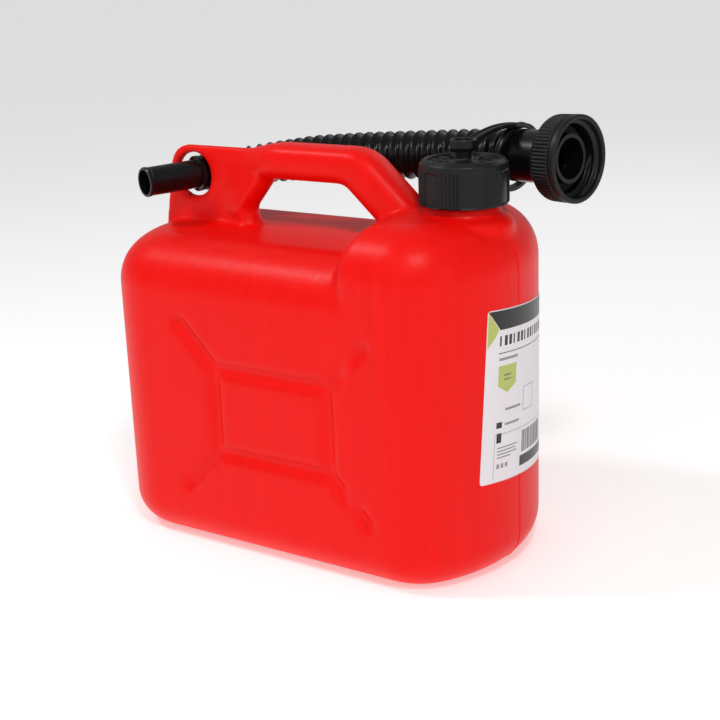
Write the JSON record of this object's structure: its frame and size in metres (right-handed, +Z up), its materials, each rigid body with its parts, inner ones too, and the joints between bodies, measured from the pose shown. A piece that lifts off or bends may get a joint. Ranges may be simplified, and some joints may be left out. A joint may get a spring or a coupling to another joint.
{
  "type": "fuel can with pouring spout",
  "caption": "Blow-moulded fuel can with a carrying handle, a push-and-turn screw cap and a flexible pouring spout stowed behind the handle.",
  "frame": {"origin": "centre of the tank's base, on the surface that it stands on", "axes": "+Z up, +X along the can towards the neck end, -Y out of the front face"},
  "size_m": [0.2878, 0.14, 0.2573],
  "materials": {
    "can_shell": "satin",
    "label_film": "gloss",
    "cap_black": "satin",
    "spout_black": "gloss",
    "tether_black": "satin",
    "seal": "matte"
  },
  "bodies": {
    "can": {"tank": "can_shell", "label": "label_film"},
    "tether_end": {"tether_eye": "tether_black"},
    "cap": {"cap_inner": "cap_black", "cap_gasket": "seal"},
    "shell": {"cap_shell": "cap_black"},
    "spout": {"spout_nozzle": "spout_black", "spout_bellows": "spout_black", "spout_cuff": "spout_black", "spout_gasket": "seal", "tether_ring": "tether_black", "tether_strap": "tether_black"},
    "nut": {"spout_nut": "cap_black"}
  },
  "joints": [
    {"name": "cap_rise", "type": "slide", "parent": "can", "child": "tether_end", "axis": [0, 0, 1], "range_m": [0, 0.0111], "deforming": ["tether_strap"]},
    {"name": "cap_turn", "type": "hinge", "parent": "tether_end", "child": "cap", "pos_m": [0.0985, 0, 0.22], "axis": [0, 0, 1], "range_deg": [0, 792]},
    {"name": "shell_press", "type": "slide", "parent": "cap", "child": "shell", "axis": [0, 0, -1], "range_m": [0, 0.0012], "stiffness_N_per_m": 4000, "springref_m": -0.0008},
    {"name": "spout_pull", "type": "slide", "parent": "can", "child": "spout", "axis": [0.3582, 0.9332, 0.03], "range_m": [0, 0.06]},
    {"name": "nut_spin", "type": "hinge", "parent": "spout", "child": "nut", "pos_m": [0.13212, 0.04012, 0.23237], "axis": [0.9829, -0.1827, 0.0226], "continuous": true}
  ],
  "couplings": [
    {"joint": "cap_rise", "follows": "cap_turn", "m_per_rad": 0.00079577}
  ]
}
